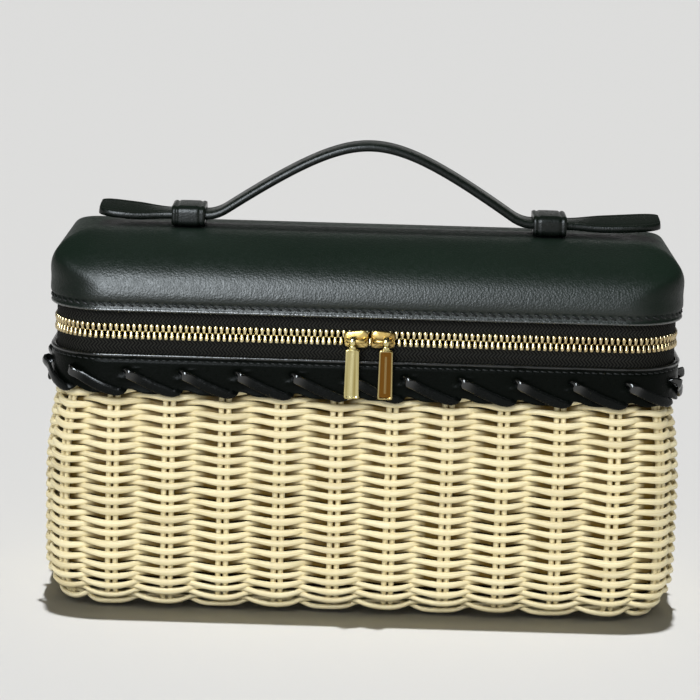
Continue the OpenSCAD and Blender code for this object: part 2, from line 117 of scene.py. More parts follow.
def girth(inset):
    # length once round the outline: four straights and a full circle of corners
    r = plan["corner"] - inset
    return 2 * (plan["width"] + plan["depth"] - 4 * inset - 4 * r) + 2 * pi * r


def around(s, inset, out, z):
    # a point at s on the outline, pushed out by out, at height z
    x, y, nx, ny = outline(s, inset)
    return grid(x + nx * out, y + ny * out, z)


def shell(points, closeU=False, closeV=False, caps=False, uLen=None, vLen=None, tone=None):
    # grid of points [copy, along, round, xyz] to vertices, faces and a UV in mm; caps close the two ends
    if points.ndim == 3:
        points = points[None]
    copies, nu, nv, _ = points.shape
    qu, qv = nu - (not closeU), nv - (not closeV)
    k, i, j = np.meshgrid(np.arange(copies), np.arange(qu), np.arange(qv), indexing="ij")
    i2, j2 = (i + 1) % nu, (j + 1) % nv
    index = lambda a, b: (k * nu + a) * nv + b
    quads = np.stack([index(i, j), index(i2, j), index(i2, j2), index(i, j2)], -1).reshape(-1, 4)
    uAt = np.arange(nu + 1) if uLen is None else np.linspace(0, uLen, nu + 1)
    vAt = np.arange(nv + 1) if vLen is None else np.linspace(0, vLen, nv + 1)
    uv = np.stack([np.stack([uAt[a] + 37.0 * k, vAt[b] + 11.0 * k], -1)
                   for a, b in ((i, j), (i + 1, j), (i + 1, j + 1), (i, j + 1))], -2).reshape(-1, 2)
    faces, sizes = [quads.ravel()], [np.full(len(quads), 4)]
    if caps:
        start = np.arange(copies)[:, None] * nu * nv
        ring = np.arange(nv)[None, :]
        ends = np.concatenate([start + ring, start + (nu - 1) * nv + ring[:, ::-1]])
        faces.append(ends.ravel())
        sizes.append(np.full(len(ends), nv))
        uv = np.concatenate([uv, np.zeros((ends.size, 2))])
    flat = points.reshape(-1, 3)
    if tone is not None:
        tone = np.broadcast_to(tone, points.shape[:3]).ravel()
    return {"points": flat, "loops": np.concatenate(faces), "sizes": np.concatenate(sizes), "uv": uv, "tone": tone}


def tube(points, **more):
    # a grid closed round its section, with both ends capped
    return shell(points, False, True, caps=True, **more)


def joined(parts):
    # several shells as one
    shift = np.cumsum([0] + [len(p["points"]) for p in parts[:-1]])
    return {"points": np.concatenate([p["points"] for p in parts]),
            "loops": np.concatenate([p["loops"] + d for p, d in zip(parts, shift)]),
            "sizes": np.concatenate([p["sizes"] for p in parts]),
            "uv": np.concatenate([p["uv"] for p in parts]),
            "tone": None if parts[0]["tone"] is None else np.concatenate([p["tone"] for p in parts])}


def turnedOut(part):
    # turns a closed shell so that its faces point outwards: the signed volume of its fans is positive
    first = np.concatenate([[0], np.cumsum(part["sizes"])[:-1]])
    p, loops = part["points"] - part["points"].mean(0), part["loops"]
    volume = 0.0
    for n in np.unique(part["sizes"]):
        at = first[part["sizes"] == n]
        for k in range(1, n - 1):
            a, b, c = p[loops[at]], p[loops[at + k]], p[loops[at + k + 1]]
            volume += np.einsum("ij,ij->", a, np.cross(b, c))
    if volume < 0:
        # each face's corners in reverse: its first and last places less the corner's own
        order = np.repeat(2 * first + part["sizes"] - 1, part["sizes"]) - np.arange(len(loops))
        part["loops"], part["uv"] = loops[order], part["uv"][order]
    return part


def makePiece(name, part, material, body, replaces=(), ride=True):
    # a mesh object at the origin with its UV, tone and material, told to the frame
    part = turnedOut(part)
    mesh = bpy.data.meshes.new(name)
    mesh.vertices.add(len(part["points"]))
    mesh.vertices.foreach_set("co", (part["points"] * mm).astype(np.float32).ravel())
    mesh.loops.add(len(part["loops"]))
    mesh.loops.foreach_set("vertex_index", part["loops"].astype(np.int32))
    mesh.polygons.add(len(part["sizes"]))
    starts = np.concatenate([[0], np.cumsum(part["sizes"])[:-1]])
    mesh.polygons.foreach_set("loop_start", starts.astype(np.int32))
    mesh.update(calc_edges=True)
    mesh.polygons.foreach_set("use_smooth", part["sizes"] == 4)  # the caps stay flat
    mesh.uv_layers.new(name="UVMap").data.foreach_set("uv", part["uv"].astype(np.float32).ravel())
    if part["tone"] is not None:
        mesh.attributes.new("tone", "FLOAT", "POINT").data.foreach_set("value", part["tone"].astype(np.float32))
    mesh.validate()
    mesh.materials.append(material)
    piece = bpy.data.objects.new(name, mesh)
    bpy.context.scene.collection.objects.link(piece)
    if ride:
        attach(piece, body)
    if replaces:
        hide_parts(*replaces)
    print("made", name, len(part["sizes"]), "faces")
    return piece


def smoothStep(x):
    # eases from 0 to 1: three squares less two cubes
    x = np.clip(x, 0, 1)
    return x * x * (3 - 2 * x)


def bell(x, width):
    # one at zero, dying away as the square of x over width
    return np.exp(-(x / width) ** 2)


def pressed(wave, power):
    # a sine or cosine pressed towards square, for rounded bars
    return np.sign(wave) * np.abs(wave) ** power


def turns(n, start=0.0):
    # n angles once round a section
    return (np.arange(n) + start) / n * 2 * pi


def grid(*xyz):
    # coordinates spread to one shape and stacked
    return np.stack(np.broadcast_arrays(*xyz), -1)


def raised(flat, z):
    # rings of plan points [ring, point, xy] with the height of each ring
    return np.concatenate([flat, np.broadcast_to(np.reshape(z, (-1, 1, 1)), flat.shape[:2] + (1,))], -1)


def caneMaterial():
    # peeled rattan cane, split and dried: cream, satin, with long fibres, a random brown tone from strand to strand and
    # painted shade in brown where the strands pass behind the stakes
    mat, tree = newMaterial("peeled_rattan_cane", IOR=1.5, Specular_IOR_Level=0.18)
    uv = addNode(tree, "UVMap", uv_map="UVMap")
    # UV is in mm: fibres 0.45 mm wide and about 25 mm long
    fibre = addNode(tree, "Mapping", {"Vector": uv, "Scale": (1 / 25, 1 / 0.45, 1)})
    streak = addNode(tree, "TexNoise", {"Vector": fibre, "Scale": 1.0, "Detail": 4.0})
    place = addNode(tree, "TexCoord")
    # blotches about 18 mm across
    blotch = addNode(tree, "TexNoise", {"Vector": place.outputs["Object"], "Scale": 1 / 0.018,
                                                  "Detail": 3.0})
    tone = addNode(tree, "Attribute", attribute_name="tone")
    ramp = addNode(tree, "ValToRGB", {"Fac": streak})
    ramp.color_ramp.elements[0].position, ramp.color_ramp.elements[0].color = 0.25, linear("#E6D6A2")
    ramp.color_ramp.elements[1].position, ramp.color_ramp.elements[1].color = 0.68, linear("#FAF1CD")
    # brown by the tone attribute: a random tone for each strand, and painted shade behind the stakes
    tan = addNode(tree, "Mix", {0: tone.outputs["Fac"], 6: ramp, 7: linear("#836A2C")},
                  data_type="RGBA")
    patch = addNode(tree, "MapRange", {0: blotch, 1: 0.5, 2: 0.8, 3: 0.0, 4: 0.35})
    warm = addNode(tree, "Mix", {0: patch, 6: tan.outputs[2], 7: linear("#EBDCAE")},
                   data_type="RGBA")
    rough = addNode(tree, "MapRange", {0: streak, 3: 0.42, 4: 0.66})
    bump = addNode(tree, "Bump", {"Height": streak, "Strength": 0.35, "Distance": 0.00025})
    return finished(mat, Base_Color=warm.outputs[2], Roughness=rough, Normal=bump)


def leatherMaterial(name, dark, light, rough, grain, depth, gloss, burnish=0.0):
    # drum-dyed calf leather, plated and waxed: near black with a green cast, a soft sheen broken by a fine pebble grain
    mat, tree = newMaterial(name, IOR=1.5, Specular_IOR_Level=gloss)
    place = addNode(tree, "TexCoord")
    # pebbles of grain mm, drawn a little coarser than real calf so that they show
    pebble = addNode(tree, "TexVoronoi", {"Vector": place.outputs["Object"], "Scale": 1000 / grain},
                     feature="F1")
    pore = addNode(tree, "TexNoise", {"Vector": place.outputs["Object"], "Scale": 1000 / (grain * 2.4),
                                                "Detail": 5.0, "Roughness": 0.65})
    wear = addNode(tree, "TexNoise", {"Vector": place.outputs["Object"], "Scale": 1 / 0.045,
                                                "Detail": 3.0})
    shade = addNode(tree, "Mix", {0: wear, 6: linear(dark), 7: linear(light)},
                    data_type="RGBA")
    sheen = addNode(tree, "MapRange", {0: pore, 1: 0.3, 2: 0.7, 3: rough - 0.07,
                                                 4: rough + 0.09})
    relief = addNode(tree, "Math", {0: pebble, 1: pore},
                     operation="ADD")
    bump = addNode(tree, "Bump", {"Height": relief, "Strength": depth,
                                            "Distance": 0.0003})
    outputs = {"Base_Color": shade.outputs[2], "Roughness": sheen, "Normal": bump}
    if burnish:
        # the tone attribute marks rubbed edges, which shine more, and dry parts, which shine less
        tone = addNode(tree, "Attribute", attribute_name="tone")
        shine = addNode(tree, "Math", {0: tone.outputs["Fac"], 1: burnish, 2: gloss},
                        operation="MULTIPLY_ADD")
        smooth = addNode(tree, "Math", {0: tone.outputs["Fac"], 1: -0.12, 2: sheen},
                         operation="MULTIPLY_ADD")
        outputs.update(Specular_IOR_Level=shine, Roughness=smooth)
    return finished(mat, **outputs)


def tapeMaterial():
    # polyester zip tape, woven in a herringbone: dull charcoal with paler slanted threads
    mat, tree = newMaterial("woven_polyester_tape", Roughness=0.7, Specular_IOR_Level=0.06)
    uv = addNode(tree, "UVMap", uv_map="UVMap")
    parts = addNode(tree, "SeparateXYZ", {"Vector": uv})
    # chevrons 3.2 mm wide, threads 1.5 mm apart: real threads are about a third of that and would not show
    fold = addNode(tree, "Math", {0: parts.outputs["Y"], 1: 1.6}, operation="PINGPONG")
    slant = addNode(tree, "Math", {0: parts.outputs["X"], 1: fold}, operation="ADD")
    turn = addNode(tree, "Math", {0: slant, 1: 2 * pi / 1.5}, operation="MULTIPLY")
    wave = addNode(tree, "Math", {0: turn}, operation="SINE")
    fuzz = addNode(tree, "TexNoise", {"Vector": uv, "Scale": 1.6, "Detail": 3.0})
    mixed = addNode(tree, "Math", {0: wave, 1: fuzz}, operation="MULTIPLY")
    level = addNode(tree, "MapRange", {0: mixed, 1: -0.5, 2: 0.6})
    shade = addNode(tree, "Mix", {0: level, 6: linear("#030303"), 7: linear("#282824")},
                    data_type="RGBA")
    bump = addNode(tree, "Bump", {"Height": wave, "Strength": 0.5, "Distance": 0.0002})
    return finished(mat, Base_Color=shade.outputs[2], Normal=bump)


def brassMaterial(name, colour, rough, grainSize):
    # die-cast zinc, plated in pale gold and polished: bright, with faint cloudiness from handling
    mat, tree = newMaterial(name, Metallic=1.0)
    place = addNode(tree, "TexCoord")
    # cloudiness about 3 mm across on cast pieces; polishing lines along a pull are 1.3 mm wide and 40 mm long
    spread = addNode(tree, "Mapping", {"Vector": place.outputs["Object"],
                                                 "Scale": [1000 / size for size in grainSize]})
    cloud = addNode(tree, "TexNoise", {"Vector": spread, "Scale": 1.0, "Detail": 3.0})
    level = addNode(tree, "MapRange", {0: cloud, 1: 0.3, 2: 0.7})
    shade = addNode(tree, "Mix", {0: level, 6: linear(colour[0]), 7: linear(colour[1])},
                    data_type="RGBA")
    # the tone attribute mixes in a darker bronze by amount; the paler middle of the right pull is a painted highlight
    tone = addNode(tree, "Attribute", attribute_name="tone")
    bronzeTint = addNode(tree, "Mix", {0: tone.outputs["Fac"], 6: shade.outputs[2], 7: linear("#7A521F")},
                   data_type="RGBA")
    gloss = addNode(tree, "MapRange", {0: cloud, 1: 0.3, 2: 0.7, 3: rough - 0.05,
                                                 4: rough + 0.06})
    return finished(mat, Base_Color=bronzeTint.outputs[2], Roughness=gloss)


def ribbedMaterial(name, pitch, dark, light, ridge, **sockets):
    # slanted ribs pitch mm apart on a UV in mm: the sine of X plus Y
    mat, tree = newMaterial(name, **sockets)
    uv = addNode(tree, "UVMap", uv_map="UVMap")
    parts = addNode(tree, "SeparateXYZ", {"Vector": uv})
    slant = addNode(tree, "Math", {0: parts.outputs["X"], 1: parts.outputs["Y"]}, operation="ADD")
    turn = addNode(tree, "Math", {0: slant, 1: 2 * pi / pitch}, operation="MULTIPLY")
    rib = addNode(tree, "Math", {0: turn}, operation="SINE")
    level = addNode(tree, "MapRange", {0: rib, 1: -1.0, 2: 1.0})
    shade = addNode(tree, "Mix", {0: level, 6: linear(dark), 7: linear(light)},
                    data_type="RGBA")
    outputs = {"Base_Color": shade.outputs[2]}
    if ridge:
        bump = addNode(tree, "Bump", {"Height": rib, "Strength": ridge, "Distance": 0.0002})
        outputs["Normal"] = bump
    return finished(mat, **outputs)


cane = caneMaterial()
lidLeather = leatherMaterial("waxed_calf_leather", "#08110B", "#101B14", 0.40, 0.85, 0.30, 0.46, 0.6)
collarLeather = leatherMaterial("turned_collar_leather", "#040604", "#0A0E0B", 0.30, 0.7, 0.16, 0.04, 0.6)
strapLeather = leatherMaterial("edge_dyed_strap_leather", "#070B08", "#0F1611", 0.30, 0.7, 0.14, 0.26)
laceLeather = leatherMaterial("rolled_lace_leather", "#050706", "#0B0E0D", 0.24, 0.7, 0.10, 0.10, 0.8)
zipTape = tapeMaterial()
toothBrass = brassMaterial("plated_zip_brass", ("#DACA98", "#EADDB4"), 0.26, (3, 3, 3))
pullBrass = brassMaterial("polished_pull_brass", ("#AD9C5C", "#E6DBA6"), 0.17, (1.3, 5, 40))
sliderBrass = brassMaterial("tumbled_slider_brass", ("#C6A95E", "#DAC282"), 0.30, (3, 3, 3))
# cotton twill: dark olive brown and matt, with ribs drawn twice as coarse as real twill; the dark brown also stands in
# for the shade seen through the gaps in the weave
lining = ribbedMaterial("cotton_twill_lining", 1.1, "#33281A", "#54452F", 0.4, Roughness=0.9, Specular_IOR_Level=0.2)
# waxed polyester thread: black, a little shinier than the leather, twisted once each 0.8 mm
thread = ribbedMaterial("waxed_polyester_thread", 0.8, "#080A09", "#1A1E1C", 0.0, Roughness=0.5, Specular_IOR_Level=0.3)
print("materials ready")


weave = {"rows": 22, "columns": 30, "phase": 12.0, "steps": 12, "sides": 8, "stakePlane": -3.5, "swing": 2.4,
         "halfThick": 1.1, "halfTall": 1.55, "crossTall": 1.2, "lead": 0.06, "snap": 1.5,
         "lifts": (0.25, 0.0, 0.18, -0.08), "levels": (0.78, 0.28), "lowest": (0.60, 0.33), "lowestLift": (1.0, -0.3),
         "footHeight": 19.0, "footIn": 12.0, "belly": 51.5, "rimIn": 2.7, "bellyOut": 2.2, "waver": 0.16, "seed": 11,
         "rodApart": 1.5, "rodRound": 1.18, "rodOut": 0.7, "shallowBelow": 12.0, "shallowest": 0.35, "fatness": 0.05,
         "tones": (0.04, 0.1, 0.4), "lean": 0.25, "leanShare": 0.4}
rowTall = (height["basket"] - 1.4) / weave["rows"]
columnWide = girth(0) / weave["columns"]


def wallDraw(z):
    # how far the wall draws in at height z, and its slope: a quarter ellipse at the foot, a parabola at the rim
    f = np.clip((weave["footHeight"] - z) / weave["footHeight"], 0, 0.985)
    root = np.sqrt(1 - f * f)
    span = height["collarLow"] - weave["belly"]
    g = np.clip((z - weave["belly"]) / span, 0, 1)
    reach = weave["rimIn"] + weave["bellyOut"]
    draw = weave["footIn"] * (1 - root) + reach * g * g - weave["bellyOut"]
    slope = -weave["footIn"] * f / root / weave["footHeight"] + 2 * reach * g / span * (g < 1)
    return draw, slope


def onWall(s, z, out, up=0.0):
    # a point of the wall at s and z, moved out along the wall's normal and up along its face
    x, y, nx, ny = outline(s)
    draw, slope = wallDraw(z)
    tilt = np.arctan(slope)
    flat = out * np.cos(tilt) - up * np.sin(tilt) - draw
    return grid(x + nx * flat, y + ny * flat, z + out * np.sin(tilt) + up * np.cos(tilt))


def strandCourse(own):
    # own is the distance in columns from the strand's own front stake, -1 to 1
    # depth: a cosine pressed towards square, leading a little; lift: first two harmonics through four heights
    snap = weave["snap"]
    depth = weave["swing"] * np.tanh(snap * np.cos(pi * (own + weave["lead"]))) / np.tanh(snap)
    left, mid, right, back = weave["lifts"]
    a1, b1 = (mid - back) / 2, (right - left) / 2
    a0, a2 = ((mid + back) / 2 + (left + right) / 2) / 2, ((mid + back) / 2 - (left + right) / 2) / 2
    lift = a0 + a1 * np.cos(pi * own) + b1 * np.sin(pi * own) + a2 * np.cos(2 * pi * own)
    return depth, lift - a0


def wandering(values, at):
    # values at whole columns, joined by half cosines
    n = values.shape[-1]
    low = np.floor(at).astype(int)
    t = (1 - np.cos(pi * (at - low))) / 2
    return values[..., low % n] * (1 - t) + values[..., (low + 1) % n] * t


chance = np.random.default_rng(weave["seed"])
rowWaver = chance.normal(0, weave["waver"], (2, weave["rows"], weave["columns"]))
rowFat = chance.normal(0, weave["fatness"], (2, weave["rows"], weave["columns"]))
strandTone = np.clip(chance.normal(*weave["tones"][:2], (2, weave["rows"], weave["columns"])), 0, weave["tones"][2])
stakeLean = chance.normal(0, weave["lean"], (weave["columns"], 2))


def weaver(strand):
    # every other strand of a plain weave: an oval carried round the wall, in front of every other pair of stakes
    # the strands lie half a row apart; the lowest two close up at the foot
    columns = np.arange(weave["columns"] * weave["steps"]) / weave["steps"]
    own = (columns - strand + 1) % 2 - 1
    depth, lift = strandCourse(own)
    level, share = np.arange(weave["rows"]) + weave["levels"][strand], np.ones(weave["rows"])
    level[0], share[0] = weave["lowest"][strand], weave["lowestLift"][strand]
    z = (level[:, None] + share[:, None] * lift) * rowTall + wandering(rowWaver[strand], columns)
    # behind the stakes the strand stays shallower near the foot, clear of the lining
    depth = depth * np.where(depth < 0, np.clip(z / weave["shallowBelow"], weave["shallowest"], 1), 1)
    # tallest at the stakes, flatter where it crosses between them
    most, least = weave["halfTall"], weave["crossTall"]
    tall = (most + least) / 2 + (most - least) / 2 * np.cos(2 * pi * own)
    fat = 1 + wandering(rowFat[strand], columns)
    turn = turns(weave["sides"])
    out = weave["stakePlane"] + depth[:, :, None] + weave["halfThick"] * np.cos(turn) * fat[:, :, None]
    up = tall[None, :, None] * np.sin(turn) * fat[:, :, None]
    s = (weave["phase"] + columns * columnWide)[None, :, None]
    points = onWall(s, z[:, :, None] + 0 * up, out, up)
    # the part behind the stakes is painted darker brown as shade, on top of a random tone for each strand
    tone = wandering(strandTone[strand], columns) + smoothStep((-depth / weave["swing"] - 0.4) * 1.8)
    return shell(points, True, True, uLen=girth(0), vLen=8.0, tone=tone[:, :, None])


def stakes():
    # pairs of upright round rods that follow the wall's profile
    z = np.linspace(0.6, height["basket"] - 0.4, 30)
    turn = turns(8)
    pair = np.array([-1, 1]) * weave["rodApart"]
    centre = weave["phase"] + np.arange(weave["columns"])[:, None] * columnWide + pair + stakeLean * weave["leanShare"]
    s = centre.ravel()[:, None, None] + weave["rodRound"] * np.sin(turn)
    out = weave["stakePlane"] + weave["rodOut"] + weave["rodRound"] * np.cos(turn)
    points = onWall(s, z[None, :, None] + 0 * s, out)
    return tube(points, uLen=103.0, vLen=7.5, tone=0.1)


basePanel = {"inset": 11.5, "middle": 3.0, "swing": 1.85, "halfThick": 1.0, "halfTall": 1.26, "steps": 96, "sides": 8,
             "rodApart": 1.3, "rodRound": 0.85}


def baseWeave():
    # the bottom: the same plain weave, laid in straight rows over cross rods
    halfW, halfD = plan["width"] / 2 - basePanel["inset"], plan["depth"] / 2 - basePanel["inset"]
    r = plan["corner"] - basePanel["inset"]
    t = np.linspace(-1, 1, basePanel["steps"])
    turn = turns(basePanel["sides"])
    parts = []
    for strand in (0, 1):
        rows = int(2 * halfD / rowTall) - strand
        y = (np.arange(rows) - (rows - 1) / 2) * rowTall
        over = np.clip(np.abs(y) - (halfD - r), 0, r)
        x = (halfW - r + np.sqrt(r * r - over * over))[:, None] * t
        own = ((x - weave["phase"]) / columnWide - strand + 1) % 2 - 1
        depth, lift = strandCourse(own)
        drop = depth * basePanel["swing"] / weave["swing"]
        z = basePanel["middle"] - drop[:, :, None] + basePanel["halfThick"] * np.cos(turn)
        yy = (y[:, None] + lift * rowTall)[:, :, None] + basePanel["halfTall"] * np.sin(turn)
        points = grid(x[:, :, None], yy, z)
        parts.append(tube(points, uLen=250.0, vLen=8.0, tone=0.12))
    column = weave["phase"] + np.arange(-6, 6) * columnWide
    rods = (column[:, None] + np.array([-1, 1]) * basePanel["rodApart"]).ravel()
    rods = rods[np.abs(rods) < halfW - 1]
    over = np.clip(np.abs(rods) - (halfW - r), 0, r)
    rodReach = halfD - r + np.sqrt(r * r - over * over)
    yy = rodReach[:, None] * np.linspace(-1, 1, 12)
    points = grid(rods[:, None, None] + basePanel["rodRound"] * np.cos(turn), yy[:, :, None],
                  basePanel["middle"] + basePanel["rodRound"] * np.sin(turn))
    parts.append(tube(points, uLen=90.0, vLen=6.0, tone=0.1))
    return joined(parts)


makePiece("weaverFront", weaver(0), cane, "base", ["basket"])
makePiece("weaverBack", weaver(1), cane, "base", ["basket"])
makePiece("stakes", stakes(), cane, "base", ["basket"])
makePiece("wovenBase", baseWeave(), cane, "base", ["base_weave"])


lacing = {"holeUp": 9.2, "run": 22.0, "drop": 9.0, "wide": 4.4, "thick": 1.7, "start": 0.2, "inset": 0.5, "tilt": -0.04,
          "knuckle": 2.1, "belly": 0.45, "dive": (26.0, 22.0)}
stitchPitch = girth(lacing["inset"]) / weave["columns"]
holeAt = (np.arange(weave["columns"]) + lacing["start"]) * stitchPitch + weave["phase"]
collar = {"thick": 1.7, "steps": 20, "bead": 0.45, "groove": 0.35, "seamDown": 2.6,
          "puckers": ((-0.7, -0.4, 1.7, 0.0, 1.5), (0.5, -1.2, 1.3, -2.9, 0.9), (0.25, 4.2, 1.6, 1.3, 0.5)),
          "flare": (0.55, 8.0, 5.5), "scallop": (2.0, 1.5, 4.2), "sag": 0.3}


def collarBand():
    # a closed leather profile carried round the rim; its face has a turned bead, a seam groove and puckers at the holes
    low, top, t = height["collarLow"], height["collarTop"], collar["thick"]
    face = np.linspace(low + 0.5, top - 0.5, 34)
    zProfile = np.concatenate([[low + 0.12], face, [top - 0.12, top, top, top - 0.12],
                               [top - 0.6, low + 8.0, low + 0.6], [low + 0.12, low, low]])
    dProfile = np.concatenate([[-0.15], 0 * face, [-0.15, -0.55, 0.55 - t, 0.15 - t], [-t, -t, -t],
                               [0.15 - t, 0.55 - t, -0.55]])
    steps = weave["columns"] * collar["steps"]
    s = np.arange(steps) / steps * girth(lacing["inset"]) + holeAt[0]
    phase = (np.arange(steps) % collar["steps"]) / collar["steps"] * stitchPitch
    near = np.where(phase > stitchPitch / 2, phase - stitchPitch, phase)[:, None]
    z, d = zProfile[None, :] + 0 * near, dProfile[None, :] + 0 * near
    onFace = (dProfile > -0.2)[None, :]
    seam = top - collar["seamDown"]
    relief = collar["bead"] * smoothStep((z - top + 1.5) / 0.4) - collar["groove"] * bell(z - top + 1.75, 0.35)
    relief = relief - collar["groove"] * bell(z - seam, 0.5)
    hole = low + lacing["holeUp"]
    # round each hole a dent, a fold below it and a faint ridge beside it
    for push, along, wide, up, tall in collar["puckers"]:
        relief = relief + push * bell(near - along, wide) * bell(z - hole - up, tall)
    # the lower edge lifts and flares between the stitches
    edge = np.clip(1 - (z - low) / 6, 0, 1) ** 2
    flare, flareAt, flareWide = collar["flare"]
    d = d + np.where(onFace, relief, 0) + flare * bell(phase[:, None] - flareAt, flareWide) * edge
    scallop, scallopAt, scallopWide = collar["scallop"]
    z = z + edge * (scallop * bell(near - scallopAt, scallopWide) - collar["sag"])
    points = around(s[:, None], lacing["inset"], d, z)
    burnished = smoothStep((z - top + 1.4) / 0.4)
    return shell(points, True, True, uLen=girth(lacing["inset"]), vLen=38.0, tone=burnished)


def laceStitches():
    # a flat rounded thong: out of its hole in a knuckle, steeply down to the right, then level and round the lower edge
    # its face leans forward a little, so that only the upper edge and the knuckle catch the light
    t = np.concatenate([[-0.10, -0.06, -0.02], np.linspace(0.02, 0.98, 21), [1.03, 1.08, 1.13]])
    inner = np.clip(t, 0, 1)
    s = lacing["run"] * (inner + 0.35 * np.minimum(t, 0) + 0.30 * np.maximum(t - 1, 0))
    fall = 1 - (1 - inner) ** 1.35
    z = height["collarLow"] + lacing["holeUp"] - lacing["drop"] * fall
    z = z + 9 * np.minimum(t, 0) + 11 * np.maximum(t - 0.9, 0)
    rise = 0.2 + lacing["belly"] * np.sin(pi * inner) ** 0.7 + lacing["knuckle"] * bell(t - 0.06, 0.10)
    d = rise + lacing["dive"][0] * np.minimum(t, 0) - lacing["dive"][1] * np.maximum(t - 0.98, 0)
    wide = lacing["wide"] / 2 * (0.88 + 0.12 * smoothStep(t / 0.28)) * (1 - 0.35 * smoothStep((t - 0.7) / 0.35))
    ds, dz = np.gradient(s, t), np.gradient(z, t)
    norm = np.hypot(ds, dz)
    turn = turns(14)
    # superellipse section, nearly flat with round edges
    a, b = pressed(np.cos(turn), 0.7), pressed(np.sin(turn), 0.85)
    across = wide[:, None] * a
    lift = lacing["thick"] / 2 * (1 + b) - across * lacing["tilt"]
    sAll = holeAt[:, None, None] + (s[:, None] - across * (dz / norm)[:, None])[None]
    zAll = (z[:, None] + across * (ds / norm)[:, None])[None] + 0 * sAll
    points = around(sAll, lacing["inset"], (d[:, None] + lift)[None] + 0 * sAll, zAll)
    rubbed = np.clip(bell(t - 0.05, 0.13)[:, None] + 0.8 * smoothStep((a - 0.7) / 0.2), 0, 1)
    return tube(points, uLen=24.0, vLen=10.0, tone=rubbed)


makePiece("collarBand", collarBand(), collarLeather, "base", ["collar"])
makePiece("laceStitches", laceStitches(), laceLeather, "base", ["lace"])


def stitchRow(seam, inset, z):
    # capsules laid along the outline, each turned a little
    t = np.array([-1.0, -0.8, 0.0, 0.8, 1.0])
    radius, length = seam["radius"], seam["length"]
    fat = radius * np.array([0.35, 0.85, 1.0, 0.85, 0.35])
    turn = turns(6)
    count = int(girth(inset) / seam["pitch"])
    s = (np.arange(count) + 0.5) / count * girth(inset)
    along = s[:, None, None] + (t * length / 2)[None, :, None] + 0 * turn
    up = z + (t * seam["slant"])[None, :, None] + (fat[:, None] * np.sin(turn))[None] + 0 * along
    d = seam["out"] + (fat[:, None] * np.cos(turn))[None] - (0.35 * radius * (t * t))[None, :, None] + 0 * along
    return tube(around(along, inset, d, up), uLen=length, vLen=2.0)


sewing = {"collar": {"pitch": 3.0, "length": 2.3, "radius": 0.3, "slant": -0.15, "out": -0.2},
          "lid": {"pitch": 3.8, "length": 3.2, "radius": 0.5, "slant": -0.6, "out": -0.25, "up": 3.0}}
makePiece("collarStitches", stitchRow(sewing["collar"], lacing["inset"], height["collarTop"] - collar["seamDown"]),
          thread, "base")


zipLine = {"inset": 2.9, "pitch": 2.4, "teeth": 90, "tapeHalf": 0.4, "cord": 0.62, "endTurn": 60.0}
tooth = {"level": (0.0, 0.35, 1.55, 2.2, 2.75, 3.5), "halfWide": (0.60, 0.84, 0.84, 0.64, 0.64, 0.48),
         "halfDeep": (0.95, 1.36, 1.40, 1.10, 1.05, 0.70),
         "warmRight": (0.42, 40.0, 60.0), "warmLeft": (0.35, 100.0, 25.0)}


def walkTo(inset, turned):
    # length along the drawn-in outline from the middle of the front to a point turned degrees into the rear corner
    r = plan["corner"] - inset
    straight = (plan["width"] / 2 - plan["corner"]) + pi / 2 * r + 2 * (plan["depth"] / 2 - plan["corner"])
    return straight + r * np.radians(turned)


zipEnd = walkTo(zipLine["inset"], zipLine["endTurn"])


def zipTapeBand(low, high, cordAt):
    # a flat ribbon with a round cord along the edge that carries the teeth
    n = 16
    zFront = np.linspace(low, high, n)
    half = zipLine["tapeHalf"] + (zipLine["cord"] - zipLine["tapeHalf"]) * bell(zFront - cordAt, 0.7)
    z = np.concatenate([zFront, zFront[::-1]])
    d = np.concatenate([half, -half[::-1]])
    s = np.linspace(-zipEnd, zipEnd, 300)
    points = around(s[:, None], zipLine["inset"], d[None, :], z[None, :])
    return tube(points, uLen=2 * zipEnd, vLen=2 * (high - low))


def zipTeeth(low, shift, way):
    # each tooth is an eight-sided block: wide legs, a waist, and a rounded head that reaches between its neighbours
    level, halfWide, halfDeep = (np.array(tooth[key])[:, None] for key in ("level", "halfWide", "halfDeep"))
    turn = turns(8, 0.5)
    a, b = pressed(np.cos(turn), 0.55), pressed(np.sin(turn), 0.55)
    k = np.arange(-zipLine["teeth"], zipLine["teeth"])
    s = ((k + 0.5 + shift) * zipLine["pitch"])[:, None, None]
    x, y, nx, ny = outline(s, zipLine["inset"])
    along, out = halfWide * a, halfDeep * b
    z = low + way * level + 0 * a
    points = grid(x - ny * along + nx * out, y + nx * along + ny * out, z)
    # the plating has warmed to copper towards the right and at the left corner
    most, start, over = tooth["warmRight"]
    mostLeft, startLeft, overLeft = tooth["warmLeft"]
    warm = most * smoothStep((x - start) / over) + mostLeft * smoothStep((-x - startLeft) / overLeft)
    return tube(points, uLen=3.5, vLen=6.0, tone=warm)


makePiece("zipTapeLower", zipTapeBand(height["tapeLow"], height["chainLow"] + 0.5, height["chainLow"] + 0.2),
          zipTape, "base", ["zip_tape_lower"])
makePiece("zipTapeUpper", zipTapeBand(height["chainHigh"] - 0.5, height["tapeHigh"], height["chainHigh"] - 0.2),
          zipTape, "lid", ["zip_tape_upper"])
makePiece("zipTeethLower", zipTeeth(height["chainLow"], 0.25, 1), toothBrass, "base", ["zip_teeth_lower"])
makePiece("zipTeethUpper", zipTeeth(height["chainHigh"], -0.25, -1), toothBrass, "lid",
          ["zip_teeth_upper"])


hinge = {"inset": 2.5, "thick": 1.2, "bendLow": 113.5, "bendHigh": 123.7, "clear": 0.7, "puff": 0.12, "dry": -0.3}


